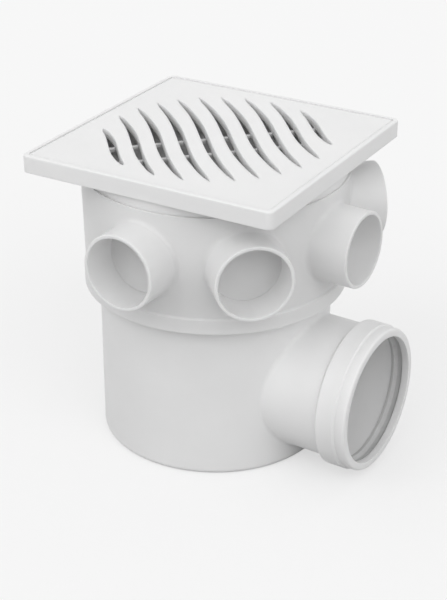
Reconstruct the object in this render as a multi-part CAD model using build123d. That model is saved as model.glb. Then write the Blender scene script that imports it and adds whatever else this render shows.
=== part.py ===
from build123d import *
import os
from math import cos, pi, sin, sqrt

# Floor trap box of the 150 x 185 x 75 class, in white PVC.
# Z is the axis of the pot, z = 0 is the floor it stands on, and the outlet points along +X.

# Overall sizes
total_height = 185.0
frame_side = 158.5
ring_od = 156.0
pot_od = 138.0
pot_height = 103.5

# Pot: wall, floor and rim flange
pot_wall = 2.6
pot_floor = 3.0
pot_edge_radius = 3.0
pot_corner_radius = 2.0
flange_thickness = 2.6

# Outlet: a ring-seal socket for a 75 mm pipe on a short branch
outlet_pipe_od = 75.0
outlet_pipe_clearance = 0.4
outlet_reach = 112.0
socket_depth = 38.0
branch_wall = 2.3
stop_step = 2.4
lip_length = 4.2
lip_relief = 0.2
groove_width = 7.0
groove_depth = 3.2
bead_wall = 2.5
bead_length = 20.0
bead_shoulder = 2.4
rim_step = 0.9
rim_length = 6.0
mouth_radius = 1.4
outlet_clearance = 2.2
saddle_share = 0.9

# Outlet seal: a rubber ring with one lip, as it lies when a pipe is in
seal_clearance = 0.1
seal_lip_inset = 0.1
seal_body_thickness = 1.4

# Weir in the pot and the hood over it
weir_x = 28.0
weir_wall = 2.4
crest_gap = 14.0
crown_gap = 4.5
hood_wall = 2.4
hood_gap = 14.0
hood_clearance = 0.3
hood_dip_height = 17.0
hood_leg = 12.0

# Cleaning plug in the hood's roof
plug_radius = 13.0
plug_clearance = 0.2
plug_depth = 7.0
plug_wall = 2.0
plug_flange = 3.0
plug_flange_thickness = 2.0
plug_edge_gap = 3.0
plug_grip_length = 18.0
plug_grip_thickness = 2.6
plug_grip_height = 7.0
plug_seat_wall = 2.0
plug_seat_depth = 5.0

# Gasket between the rim flange and the inlet ring
gasket_thickness = 1.6
gasket_inset = 0.6

# Inlet ring
ring_wall = 2.6
ring_floor = 2.4
ring_floor_fall = 1.2
apron_drop = 7.6
apron_wall = 2.8
apron_clearance = 0.4
band_height = 9.0
band_inset = 0.2
waist_step = 1.0
snap_reach = 0.6
snap_gap = 0.3
snap_land = 0.6
snap_lead = 1.4
ring_edge_radius = 0.8

# Inlets: blind sockets for 40 mm pipes
inlet_count = 5
inlet_first_angle = -90.0
inlet_step_angle = 45.0
inlet_pipe_od = 40.0
inlet_pipe_clearance = 0.2
inlet_wall = 2.0
inlet_draft = 0.6
inlet_reach = 98.0
inlet_edge_radius = 0.6
inlet_base_radius = 2.5
inlet_rise_share = 0.75
knockout_thickness = 1.2
knockout_step = 1.0

# Grille frame: it turns in the round ring to line up with the tiles
frame_turn = 2.4
frame_height = 10.2
frame_corner_radius = 4.0
frame_edge_radius = 1.0
frame_rim = 2.7
collar_height = 6.6
collar_step = 1.1
spigot_length = 10.0
spigot_wall = 1.9
spigot_clearance = 0.3
tray_floor = 2.4
frame_rib = 2.0
frame_rib_rise = 1.0
frame_rib_angles = (45.0, 135.0)

# Grille: its slots and ribs run along the diagonals
grille_turn = 45.0
grille_clearance = 0.4
grille_recess = 0.3
grille_thickness = 3.0
grille_corner_radius = 2.0
grille_edge_radius = 0.6
guide_clearance = 0.8
guide_wall = 1.8
guide_height = 3.5
grille_rib = 2.2
grille_rib_height = 5.0
grille_rib_spacing = 22.4

# Wave slots, each with a wall round it below the plate
slot_count = 10
slot_width = 5.0
slot_depth = 5.5
slot_wall = 1.6
slot_sway = 2.2
slot_margin = 3.9
slot_stations = 8

# Pot and ring radii
pot_r = pot_od / 2
pot_inner_r = pot_r - pot_wall
ring_r = ring_od / 2
ring_inner_r = ring_r - ring_wall
band_r = ring_r - band_inset
waist_r = band_r - waist_step
apron_inner_r = band_r - apron_wall
flange_r = apron_inner_r - apron_clearance

# Heights from the floor up
flange_under = pot_height - flange_thickness
ring_seat = pot_height + gasket_thickness
ring_bottom = ring_seat - apron_drop
ring_floor_top = ring_seat + ring_floor
ring_fall_top = ring_floor_top + ring_floor_fall
ring_top = total_height - frame_height - collar_height
band_top = ring_bottom + band_height
waist_z = band_top + waist_step
wall_lean = (ring_r - waist_r) / (ring_top - waist_z)
frame_bottom = total_height - frame_height
grille_top = total_height - grille_recess
ledge_z = grille_top - grille_thickness
slot_bottom = grille_top - slot_depth
tray_under = ledge_z - tray_floor

# Outlet radii and places along its own axis
socket_r = outlet_pipe_od / 2 + outlet_pipe_clearance
waterway_r = socket_r - stop_step
branch_r = socket_r + branch_wall
groove_r = socket_r + groove_depth
bead_r = groove_r + bead_wall
outlet_z = bead_r + outlet_clearance
saddle_radius = saddle_share * (outlet_z - branch_r - pot_edge_radius)
socket_stop = outlet_reach - socket_depth
groove_front = outlet_reach - lip_length
groove_back = groove_front - groove_width
bead_back = outlet_reach - bead_length

# Hood and weir heights
hood_roof = outlet_z + waterway_r + crown_gap
weir_top = hood_roof - crest_gap
hood_front = weir_x - hood_gap
plug_hole_r = plug_radius + plug_clearance
plug_flange_r = plug_radius + plug_flange
plug_x = pot_inner_r - hood_clearance - plug_edge_gap - plug_flange_r

# Inlet radii and places: the closing disc stands at the ring's inside
inlet_r = inlet_pipe_od / 2 + inlet_pipe_clearance
stub_r = inlet_r + inlet_wall
knockout_r = inlet_r - knockout_step
stub_base_r = stub_r + inlet_draft + inlet_base_radius
inlet_spare = ring_top - ring_bottom - 2 * stub_base_r
inlet_z = ring_bottom + stub_base_r + inlet_rise_share * inlet_spare
ring_lean = waist_step / (ring_top - ring_fall_top)
knockout_back = ring_inner_r - ring_lean * (ring_top - inlet_z)
inlet_stop = knockout_back + knockout_thickness

# Frame and grille radii
spigot_r = ring_inner_r - ring_lean * spigot_length - spigot_clearance
neck_r = spigot_r - spigot_wall
collar_r = ring_r - collar_step
tray_side = frame_side - 2 * frame_rim
grille_side = tray_side - 2 * grille_clearance
guide_r = neck_r - guide_clearance
slot_field_r = guide_r - guide_wall - slot_margin
slot_pitch = 2 * slot_field_r / slot_count


def turned(corners):
    """Solid turned about Z from its corners, each a radius and a height."""
    outline = Polyline(*[(r, 0, z) for r, z in corners], close=True)
    return revolve(make_face(outline), Axis.Z)


def rings_at(part, radius, height):
    """Circular edges of a part that lie round Z at one radius and height."""
    near = 0.01
    return [
        edge
        for edge in part.edges().filter_by(GeomType.CIRCLE)
        if abs(edge.radius - radius) < near
        and abs(edge.arc_center.Z - height) < near
        and abs(edge.arc_center.X) < near
    ]


def along_outlet(part):
    """Turns a part made about Z so that it lies along the outlet."""
    return Pos(0, 0, outlet_z) * Rot(0, 90, 0) * part


def along_inlet(part, index):
    """Turns a part made about Z so that it lies along one inlet."""
    angle = inlet_first_angle + index * inlet_step_angle
    return Rot(0, 0, angle) * Pos(0, 0, inlet_z) * Rot(0, 90, 0) * part


def slab(x0, x1, half_width, z0, z1):
    """Upright plate between two X places, centred on Y."""
    plate = Box(x1 - x0, 2 * half_width, z1 - z0, align=(Align.MIN, Align.CENTER, Align.MIN))
    return Pos(x0, 0, z0) * plate


def pot_cavity(clearance):
    """The pot's inside down to its floor, drawn in by a clearance."""
    radius = pot_inner_r - clearance
    inside = turned([(0, pot_floor), (radius, pot_floor), (radius, pot_height), (0, pot_height)])
    return fillet(rings_at(inside, radius, pot_floor), pot_corner_radius)


def branch_solid():
    """Outside of the branch and its socket, about Z from the pot's axis to the mouth."""
    rim_r = bead_r - rim_step
    rim_back = outlet_reach - rim_length
    solid = turned(
        [
            (0, 0),
            (branch_r, 0),
            (branch_r, bead_back),
            (bead_r, bead_back + bead_shoulder),
            (bead_r, rim_back - rim_step),
            (rim_r, rim_back),
            (rim_r, outlet_reach),
            (0, outlet_reach),
        ]
    )
    return fillet(rings_at(solid, rim_r, outlet_reach), mouth_radius)


def socket_bore():
    """Waterway, pipe socket, seal groove and lip, about Z."""
    lip_r = socket_r + lip_relief
    return turned(
        [
            (0, weir_x + weir_wall),
            (waterway_r, weir_x + weir_wall),
            (waterway_r, socket_stop),
            (socket_r, socket_stop),
            (socket_r, groove_back),
            (groove_r, groove_back),
            (groove_r, groove_front),
            (lip_r, groove_front),
            (lip_r, outlet_reach),
            (0, outlet_reach),
        ]
    )


def make_trap_pot():
    """Pot, branch, ring-seal socket and weir, moulded as one."""
    shell = turned(
        [
            (0, 0),
            (pot_r, 0),
            (pot_r, flange_under),
            (flange_r, flange_under),
            (flange_r, pot_height),
            (0, pot_height),
        ]
    )
    shell = fillet(rings_at(shell, pot_r, 0), pot_edge_radius)
    branch = along_outlet(branch_solid())
    body = shell + branch
    body = fillet(new_edges(shell, branch, combined=body), saddle_radius)
    body -= pot_cavity(0)
    body -= along_outlet(socket_bore())
    weir = slab(weir_x, weir_x + weir_wall, pot_r, pot_floor / 2, weir_top)
    mid_wall_r = pot_inner_r + pot_wall / 2
    mid_wall = turned([(0, 0), (mid_wall_r, 0), (mid_wall_r, pot_height), (0, pot_height)])
    return body + (weir & mid_wall)


def make_outlet_seal():
    """Rubber ring in the socket's groove: a flat back and one lip towards the pipe."""
    outer = groove_r - seal_clearance
    inner = outer - seal_body_thickness
    lip_r = socket_r - seal_lip_inset
    back = groove_back + seal_clearance
    front = groove_front - seal_clearance
    lip_root = (back + front) / 2
    lip_tip = (back + lip_root) / 2
    seal = turned(
        [
            (outer, back),
            (outer, front),
            (inner, front),
            (inner, lip_root),
            (lip_r, lip_tip),
            (lip_r, back),
        ]
    )
    return along_outlet(seal)


def make_rim_gasket():
    """Flat rubber ring on the pot's rim flange."""
    inner = pot_inner_r + gasket_inset
    outer = flange_r - gasket_inset
    return turned([(inner, pot_height), (outer, pot_height), (outer, ring_seat), (inner, ring_seat)])


def make_siphon_hood():
    """Hood that stands on the pot's floor: a front plate with an arched foot, and a roof."""
    reach = pot_r
    front = slab(hood_front - hood_wall, hood_front, reach, pot_floor, hood_roof + hood_wall)
    roof = slab(hood_front - hood_wall, reach, reach, hood_roof, hood_roof + hood_wall)
    hood = (front + roof) & pot_cavity(hood_clearance)
    foot_half = sqrt(pot_inner_r**2 - hood_front**2) - hood_leg
    foot = slab(hood_front - hood_wall, hood_front, foot_half, pot_floor, pot_floor + hood_dip_height)
    foot = fillet(foot.edges().filter_by(Axis.X).group_by(Axis.Z)[-1], hood_dip_height / 2)
    seat_r = plug_hole_r + plug_seat_wall
    seat = Pos(plug_x, 0, hood_roof - plug_seat_depth) * turned(
        [(0, 0), (seat_r, 0), (seat_r, plug_seat_depth), (0, plug_seat_depth)]
    )
    hole_height = plug_seat_depth + hood_wall
    hole = Pos(plug_x, 0, hood_roof - plug_seat_depth) * turned(
        [(0, 0), (plug_hole_r, 0), (plug_hole_r, hole_height), (0, hole_height)]
    )
    return hood - foot + seat - hole


def make_cleaning_plug():
    """Hollow push-in plug with a flange and a flat grip."""
    flange_top = plug_flange_thickness
    bore_r = plug_radius - plug_wall
    cup = turned(
        [
            (0, 0),
            (bore_r, 0),
            (bore_r, -plug_depth),
            (plug_radius, -plug_depth),
            (plug_radius, 0),
            (plug_flange_r, 0),
            (plug_flange_r, flange_top),
            (0, flange_top),
        ]
    )
    grip = Box(
        plug_grip_thickness,
        plug_grip_length,
        plug_grip_height,
        align=(Align.CENTER, Align.CENTER, Align.MIN),
    )
    grip = fillet(grip.edges().filter_by(Axis.X).group_by(Axis.Z)[-1], plug_grip_height / 2)
    return Pos(plug_x, 0, hood_roof + hood_wall) * (cup + Pos(0, 0, flange_top) * grip)


def ring_drum():
    """Drafted outside of the inlet ring as a full solid."""
    foot_r = ring_r - wall_lean * (ring_top - ring_bottom)
    return turned([(0, ring_bottom), (foot_r, ring_bottom), (ring_r, ring_top), (0, ring_top)])


def ring_band():
    """Plain band round the ring's lower edge, as a full solid."""
    solid = turned(
        [
            (0, ring_bottom),
            (band_r, ring_bottom),
            (band_r, band_top),
            (waist_r, waist_z),
            (0, waist_z),
        ]
    )
    return fillet(rings_at(solid, band_r, ring_bottom), ring_edge_radius)


def ring_inside():
    """Inside of the ring above its floor, with the hole over the pot."""
    return turned(
        [
            (0, ring_seat),
            (pot_inner_r, ring_seat),
            (pot_inner_r, ring_floor_top),
            (ring_inner_r - waist_step, ring_fall_top),
            (ring_inner_r, ring_top),
            (0, ring_top),
        ]
    )


def apron_inside():
    """Hollow under the ring's floor, with the snap bead that hooks under the rim flange."""
    snap_top = flange_under - snap_gap
    snap_r = flange_r - snap_reach
    return turned(
        [
            (0, ring_bottom),
            (apron_inner_r, ring_bottom),
            (apron_inner_r, snap_top - snap_land - snap_lead),
            (snap_r, snap_top - snap_land),
            (snap_r, snap_top),
            (apron_inner_r, snap_top),
            (apron_inner_r, ring_seat),
            (0, ring_seat),
        ]
    )


def inlet_stub():
    """Outside of one inlet about Z, drafted towards its mouth, with a rounded rim."""
    stub = turned([(0, 0), (stub_r + inlet_draft, 0), (stub_r, inlet_reach), (0, inlet_reach)])
    return fillet(rings_at(stub, stub_r, inlet_reach), inlet_edge_radius)


def make_inlet_ring():
    """Ring with its blind inlets, moulded as one: a flat disc closes each until it is cut out."""
    body = ring_drum()
    for index in range(inlet_count):
        stub = along_inlet(inlet_stub(), index)
        joined = body + stub
        body = fillet(new_edges(body, stub, combined=joined), inlet_base_radius)
    body += ring_band()
    body -= ring_inside()
    body -= apron_inside()
    bore = turned([(0, inlet_stop), (inlet_r, inlet_stop), (inlet_r, inlet_reach), (0, inlet_reach)])
    recess = turned([(0, 0), (knockout_r, 0), (knockout_r, knockout_back), (0, knockout_back)])
    for index in range(inlet_count):
        body -= along_inlet(bore, index)
        body -= along_inlet(recess, index)
    return body


def rounded_block(side, corner, z0, z1):
    """Square block with rounded upright corners."""
    return extrude(Pos(0, 0, z0) * RectangleRounded(side, side, corner), z1 - z0)


def make_grille_frame():
    """Square frame with a tray for the grille, a round collar and a spigot for the ring."""
    tray_corner = grille_corner_radius + grille_clearance
    block = rounded_block(frame_side, frame_corner_radius, frame_bottom, total_height)
    block = fillet(block.faces().sort_by(Axis.Z)[-1].edges(), frame_edge_radius)
    block -= rounded_block(tray_side, tray_corner, ledge_z, total_height)
    block -= rounded_block(tray_side, tray_corner, frame_bottom, tray_under)
    neck = turned(
        [
            (0, ring_top - spigot_length),
            (spigot_r, ring_top - spigot_length),
            (spigot_r, ring_top),
            (collar_r, ring_top),
            (collar_r, ledge_z),
            (0, ledge_z),
        ]
    )
    rib_length = tray_side * sqrt(2)
    rib = Box(rib_length, frame_rib, tray_under - frame_bottom - frame_rib_rise)
    rib_z = (tray_under + frame_bottom + frame_rib_rise) / 2
    hollow = rounded_block(tray_side, tray_corner, frame_bottom, tray_under)
    for angle in frame_rib_angles:
        block += (Pos(0, 0, rib_z) * Rot(0, 0, angle) * rib) & hollow
    throat = turned([(0, 0), (neck_r, 0), (neck_r, ledge_z), (0, ledge_z)])
    return Rot(0, 0, frame_turn) * (block + neck - throat)


def wave_slot(offset, growth):
    """One S-shaped opening across the grille, pointed at both ends, grown outwards all round."""
    half_length = sqrt(slot_field_r**2 - offset**2)
    share = half_length / slot_field_r
    reach = half_length + 2 * growth

    def side(sign):
        points = []
        for k in range(slot_stations + 1):
            angle = pi * (k / slot_stations - 1 / 2)
            y = reach * sin(angle)
            centre = offset + slot_sway * share * sin(pi * y / half_length)
            half_width = (slot_width / 2 + growth) * cos(angle)
            points.append((centre + sign * half_width, y))
        return Spline(*points)

    return Pos(0, 0, slot_bottom) * make_face([side(-1), side(1)])


def make_grille():
    """Square plate with walled wave slots, two ribs below them and a round guide for the neck."""
    plate = rounded_block(grille_side, grille_corner_radius, ledge_z, grille_top)
    body = fillet(plate.faces().sort_by(Axis.Z)[-1].edges(), grille_edge_radius)
    guide_bottom = ledge_z - guide_height
    guide_inner = guide_r - guide_wall
    body += turned(
        [
            (guide_inner, guide_bottom),
            (guide_r, guide_bottom),
            (guide_r, ledge_z),
            (guide_inner, ledge_z),
        ]
    )
    rib_bottom = ledge_z - grille_rib_height
    rib_end = guide_inner + guide_wall / 2
    bound = turned([(0, rib_bottom), (rib_end, rib_bottom), (rib_end, ledge_z), (0, ledge_z)])
    rib = Box(2 * rib_end, grille_rib, grille_rib_height, align=(Align.CENTER, Align.CENTER, Align.MIN))
    turn = Rot(0, 0, grille_turn)
    for side in (-1, 1):
        body += (turn * Pos(0, side * grille_rib_spacing / 2, rib_bottom) * rib) & bound
    offsets = [(index - (slot_count - 1) / 2) * slot_pitch for index in range(slot_count)]
    for offset in offsets:
        body += turn * extrude(wave_slot(offset, slot_wall), ledge_z - slot_bottom)
    for offset in offsets:
        body -= turn * extrude(wave_slot(offset, 0), slot_depth)
    return Rot(0, 0, frame_turn) * body


pieces = {
    "trap_pot": make_trap_pot(),
    "outlet_seal": make_outlet_seal(),
    "rim_gasket": make_rim_gasket(),
    "siphon_hood": make_siphon_hood(),
    "cleaning_plug": make_cleaning_plug(),
    "inlet_ring": make_inlet_ring(),
    "grille_frame": make_grille_frame(),
    "grille": make_grille(),
}

os.makedirs("parts", exist_ok=True)
for name, piece in pieces.items():
    export_step(piece, f"parts/{name}.step")
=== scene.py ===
import math

import bpy
from mathutils import Matrix, Vector

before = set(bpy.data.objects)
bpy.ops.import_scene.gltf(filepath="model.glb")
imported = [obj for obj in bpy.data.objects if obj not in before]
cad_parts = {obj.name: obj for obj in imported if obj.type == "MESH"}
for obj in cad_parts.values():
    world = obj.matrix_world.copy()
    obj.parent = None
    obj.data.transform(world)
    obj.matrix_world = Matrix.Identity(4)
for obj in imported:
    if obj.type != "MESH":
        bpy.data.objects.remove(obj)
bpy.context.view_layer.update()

# Picture and camera: a long lens from the front right, over the object
PICTURE_WIDTH = 447
PICTURE_HEIGHT = 600
CAMERA_AZIMUTH = math.radians(32.76)
CAMERA_ELEVATION = math.radians(27.29)
CAMERA_DISTANCE = 0.9086
CAMERA_NEAR = 0.01
AIM_HEIGHT = 0.07956
FOCAL_PIXELS = 1505.83
AXIS_PIXEL_X = 215.89
SENSOR = 36.0

# Light: a strong even surround, and two soft lamps left and right of the camera
SURROUND_LEVEL = 0.73
LAMP_ELEVATION = math.radians(38.0)
LAMP_SPREAD = math.radians(45.0)
LEFT_AZIMUTH = math.radians(-20.0)
LEFT_STRENGTH = 0.69
RIGHT_AZIMUTH = math.radians(60.0)
RIGHT_STRENGTH = 0.71

# Floor: how white it looks, how much light it throws back, and how far its shadow is evened out
FLOOR_HALF = 6.0
FLOOR_WHITE = 0.93
FLOOR_BOUNCE = 0.42
FLOOR_EVENNESS = 0.6
FLOOR_ROUGHNESS = 0.9

# White PVC: marks per metre, and how far light runs inside it in metres
PVC_CLOUDS = 28.0
PVC_CLOUD_SHADE = 0.975
PVC_FLOW = 75.0
PVC_SKIN = 900.0
PVC_SKIN_STRENGTH = 0.12
PVC_IOR = 1.53
PVC_SPECULAR = 0.3
PVC_LIGHT_DEPTH = 0.005

# Seal rubber: marks per metre, and its edge radius in metres
RUBBER_BLOOM = 120.0
RUBBER_BLOOM_SHADE = 0.86
RUBBER_GLOSSIEST = 0.62
RUBBER_DULLEST = 0.78
RUBBER_SKIN = 1400.0
RUBBER_SKIN_STRENGTH = 0.2
RUBBER_EDGE = 0.0003
RUBBER_IOR = 1.5

# All finishes: a noise's middle stretch, the skin's depth in metres and the samples at an edge
NOISE_LOW = 0.3
NOISE_HIGH = 0.7
SKIN_DEPTH = 0.0002
EDGE_SAMPLES = 8


def grey(level):
    """A neutral colour of one level."""
    return (level, level, level, 1)


def new_material(name):
    """An empty node material with its Principled shader and output."""
    material = bpy.data.materials.new(name)
    material.use_nodes = True
    nodes = material.node_tree.nodes
    nodes.clear()
    output = nodes.new("ShaderNodeOutputMaterial")
    shader = nodes.new("ShaderNodeBsdfPrincipled")
    material.node_tree.links.new(shader.outputs["BSDF"], output.inputs["Surface"])
    return material, shader


def noise(material, scale, detail, roughness=0.5):
    """Noise on the object's own coordinates, with a scale per metre."""
    nodes = material.node_tree.nodes
    links = material.node_tree.links
    place = nodes.new("ShaderNodeTexCoord")
    texture = nodes.new("ShaderNodeTexNoise")
    texture.inputs["Scale"].default_value = scale
    texture.inputs["Detail"].default_value = detail
    texture.inputs["Roughness"].default_value = roughness
    links.new(place.outputs["Object"], texture.inputs["Vector"])
    return texture.outputs["Fac"]


def spread(material, factor, low, high, socket):
    """Runs a noise from its middle stretch to a low and a high value on a socket."""
    nodes = material.node_tree.nodes
    links = material.node_tree.links
    ramp = nodes.new("ShaderNodeMapRange")
    ramp.inputs["From Min"].default_value = NOISE_LOW
    ramp.inputs["From Max"].default_value = NOISE_HIGH
    ramp.inputs["To Min"].default_value = low
    ramp.inputs["To Max"].default_value = high
    links.new(factor, ramp.inputs["Value"])
    links.new(ramp.outputs["Result"], socket)


def tint(material, factor, dark, light, socket):
    """Runs a noise from its middle stretch to a dark and a light grey on a socket."""
    nodes = material.node_tree.nodes
    links = material.node_tree.links
    ramp = nodes.new("ShaderNodeValToRGB")
    ramp.color_ramp.elements[0].position = NOISE_LOW
    ramp.color_ramp.elements[0].color = grey(dark)
    ramp.color_ramp.elements[1].position = NOISE_HIGH
    ramp.color_ramp.elements[1].color = grey(light)
    links.new(factor, ramp.inputs["Fac"])
    links.new(ramp.outputs["Color"], socket)


def relief(material, factor, strength, edge_radius, socket):
    """Fine relief over edges that the mould leaves slightly round."""
    nodes = material.node_tree.nodes
    links = material.node_tree.links
    edges = nodes.new("ShaderNodeBevel")
    edges.samples = EDGE_SAMPLES
    edges.inputs["Radius"].default_value = edge_radius
    bump = nodes.new("ShaderNodeBump")
    bump.inputs["Strength"].default_value = strength
    bump.inputs["Distance"].default_value = SKIN_DEPTH
    links.new(factor, bump.inputs["Height"])
    links.new(edges.outputs["Normal"], bump.inputs["Normal"])
    links.new(bump.outputs["Normal"], socket)


def moulded_pvc(name, white, glossiest, dullest, edge_radius, depth_share):
    """White moulded PVC: faint flow clouds in tone and gloss, a very fine skin and some light inside."""
    material, shader = new_material(name)
    clouds = noise(material, PVC_CLOUDS, detail=3.0)
    tint(material, clouds, white * PVC_CLOUD_SHADE, white, shader.inputs["Base Color"])
    flow = noise(material, PVC_FLOW, detail=4.0, roughness=0.6)
    spread(material, flow, glossiest, dullest, shader.inputs["Roughness"])
    skin = noise(material, PVC_SKIN, detail=3.0)
    relief(material, skin, PVC_SKIN_STRENGTH, edge_radius, shader.inputs["Normal"])
    shader.inputs["IOR"].default_value = PVC_IOR
    shader.inputs["Specular IOR Level"].default_value = PVC_SPECULAR
    shader.inputs["Subsurface Weight"].default_value = depth_share
    shader.inputs["Subsurface Radius"].default_value = (1.0, 1.0, 1.0)
    shader.inputs["Subsurface Scale"].default_value = PVC_LIGHT_DEPTH
    return material


def seal_rubber(name, tone):
    """Matt rubber with a dusty bloom."""
    material, shader = new_material(name)
    bloom = noise(material, RUBBER_BLOOM, detail=5.0, roughness=0.65)
    tint(material, bloom, tone * RUBBER_BLOOM_SHADE, tone, shader.inputs["Base Color"])
    spread(material, bloom, RUBBER_GLOSSIEST, RUBBER_DULLEST, shader.inputs["Roughness"])
    skin = noise(material, RUBBER_SKIN, detail=2.0)
    relief(material, skin, RUBBER_SKIN_STRENGTH, RUBBER_EDGE, shader.inputs["Normal"])
    shader.inputs["IOR"].default_value = RUBBER_IOR
    return material


def finish_nodes():
    """Gives each moulded piece and each seal its finish."""
    pot_white = moulded_pvc(
        "pot_pvc", white=0.835, glossiest=0.44, dullest=0.52, edge_radius=0.0004, depth_share=0.4
    )
    # Painted shade: the ring's PVC is given a darker white (0.78) than the pot's and the frame's, so its
    # walls look shaded under the frame and between the inlets.
    ring_white_painted_shade = moulded_pvc(
        "ring_pvc", white=0.78, glossiest=0.34, dullest=0.42, edge_radius=0.0006, depth_share=0.6
    )
    frame_white = moulded_pvc(
        "frame_pvc", white=0.84, glossiest=0.34, dullest=0.42, edge_radius=0.0004, depth_share=0.3
    )
    grille_white = moulded_pvc(
        "grille_pvc", white=0.86, glossiest=0.34, dullest=0.42, edge_radius=0.0014, depth_share=0.5
    )
    seal_grey = seal_rubber("seal_rubber", tone=0.6)
    finishes = {
        "trap_pot": pot_white,
        "siphon_hood": pot_white,
        "cleaning_plug": pot_white,
        "inlet_ring": ring_white_painted_shade,
        "grille_frame": frame_white,
        "grille": grille_white,
        "outlet_seal": seal_grey,
        "rim_gasket": seal_grey,
    }
    for node, material in finishes.items():
        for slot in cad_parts[node].material_slots:
            slot.material = material


def seen_ray(nodes, links):
    """One for a ray from the camera, or mirrored or let through on its way, and nought for others."""
    path = nodes.new("ShaderNodeLightPath")
    mirrored = nodes.new("ShaderNodeMath")
    mirrored.operation = "MAXIMUM"
    links.new(path.outputs["Is Glossy Ray"], mirrored.inputs[0])
    links.new(path.outputs["Is Transmission Ray"], mirrored.inputs[1])
    seen = nodes.new("ShaderNodeMath")
    seen.operation = "MAXIMUM"
    links.new(path.outputs["Is Camera Ray"], seen.inputs[0])
    links.new(mirrored.outputs["Value"], seen.inputs[1])
    return seen.outputs["Value"]


def evened_share(nodes, links):
    """The share of plain white that the camera sees on the floor, and nought for other rays."""
    path = nodes.new("ShaderNodeLightPath")
    share = nodes.new("ShaderNodeMath")
    share.operation = "MULTIPLY"
    share.inputs[1].default_value = FLOOR_EVENNESS
    links.new(path.outputs["Is Camera Ray"], share.inputs[0])
    return share.outputs["Value"]


def floor_white():
    """Near white to the camera with a softened shadow, dimmer as a reflector."""
    material, shader = new_material("floor_white")
    nodes = material.node_tree.nodes
    links = material.node_tree.links
    shade = nodes.new("ShaderNodeMix")
    shade.data_type = "RGBA"
    shade.inputs["A"].default_value = grey(FLOOR_BOUNCE)
    shade.inputs["B"].default_value = grey(FLOOR_WHITE)
    links.new(seen_ray(nodes, links), shade.inputs["Factor"])
    links.new(shade.outputs["Result"], shader.inputs["Base Color"])
    shader.inputs["Roughness"].default_value = FLOOR_ROUGHNESS
    shader.inputs["Specular IOR Level"].default_value = 0.0
    plain = nodes.new("ShaderNodeEmission")
    plain.inputs["Color"].default_value = grey(FLOOR_WHITE)
    blend = nodes.new("ShaderNodeMixShader")
    links.new(evened_share(nodes, links), blend.inputs["Fac"])
    links.new(shader.outputs["BSDF"], blend.inputs[1])
    links.new(plain.outputs["Emission"], blend.inputs[2])
    links.new(blend.outputs["Shader"], nodes["Material Output"].inputs["Surface"])
    return material


def lay_floor():
    """Plain pale floor under the pot."""
    bpy.ops.object.select_all(action="DESELECT")
    bpy.ops.mesh.primitive_plane_add(size=2 * FLOOR_HALF)
    floor = bpy.context.object
    floor.name = "floor"
    floor.data.materials.append(floor_white())


def light_surround():
    """Even surround light, seen by the camera and in reflections as the same near white as the floor."""
    world = bpy.data.worlds.new("surround")
    bpy.context.scene.world = world
    world.use_nodes = True
    nodes = world.node_tree.nodes
    links = world.node_tree.links
    nodes.clear()
    output = nodes.new("ShaderNodeOutputWorld")
    lit = nodes.new("ShaderNodeBackground")
    lit.inputs["Color"].default_value = grey(SURROUND_LEVEL)
    plain = nodes.new("ShaderNodeBackground")
    plain.inputs["Color"].default_value = grey(FLOOR_WHITE)
    mix = nodes.new("ShaderNodeMixShader")
    links.new(seen_ray(nodes, links), mix.inputs["Fac"])
    links.new(lit.outputs["Background"], mix.inputs[1])
    links.new(plain.outputs["Background"], mix.inputs[2])
    links.new(mix.outputs["Shader"], output.inputs["Surface"])


def back_vector(azimuth, elevation):
    """From the object towards a camera or a lamp."""
    return Vector(
        (
            math.sin(azimuth) * math.cos(elevation),
            -math.cos(azimuth) * math.cos(elevation),
            math.sin(elevation),
        )
    )


def light_from(side, azimuth, strength):
    """Soft lamp from one side of the camera."""
    lamp = bpy.data.lights.new(side, "SUN")
    lamp.energy = strength
    lamp.angle = LAMP_SPREAD
    holder = bpy.data.objects.new(side, lamp)
    bpy.context.scene.collection.objects.link(holder)
    holder.rotation_euler = back_vector(azimuth, LAMP_ELEVATION).to_track_quat("Z", "Y").to_euler()


def place_camera():
    """Camera at the photograph's viewing angle, with its axis a little left of the picture's middle."""
    camera = bpy.data.cameras.new("camera")
    camera.sensor_fit = "VERTICAL"
    camera.sensor_height = SENSOR
    camera.lens = FOCAL_PIXELS / PICTURE_HEIGHT * SENSOR
    camera.shift_x = (PICTURE_WIDTH / 2 - AXIS_PIXEL_X) / PICTURE_HEIGHT
    camera.clip_start = CAMERA_NEAR
    camera.clip_end = 4 * FLOOR_HALF
    holder = bpy.data.objects.new("camera", camera)
    bpy.context.scene.collection.objects.link(holder)
    back = back_vector(CAMERA_AZIMUTH, CAMERA_ELEVATION)
    eye = Vector((0, 0, AIM_HEIGHT)) + back * CAMERA_DISTANCE
    turn = back.to_track_quat("Z", "Y").to_matrix().to_4x4()
    holder.matrix_world = Matrix.Translation(eye) @ turn
    bpy.context.scene.camera = holder


finish_nodes()
lay_floor()
light_surround()
light_from("left", LEFT_AZIMUTH, LEFT_STRENGTH)
light_from("right", RIGHT_AZIMUTH, RIGHT_STRENGTH)
place_camera()
bpy.context.scene.view_settings.view_transform = "Standard"
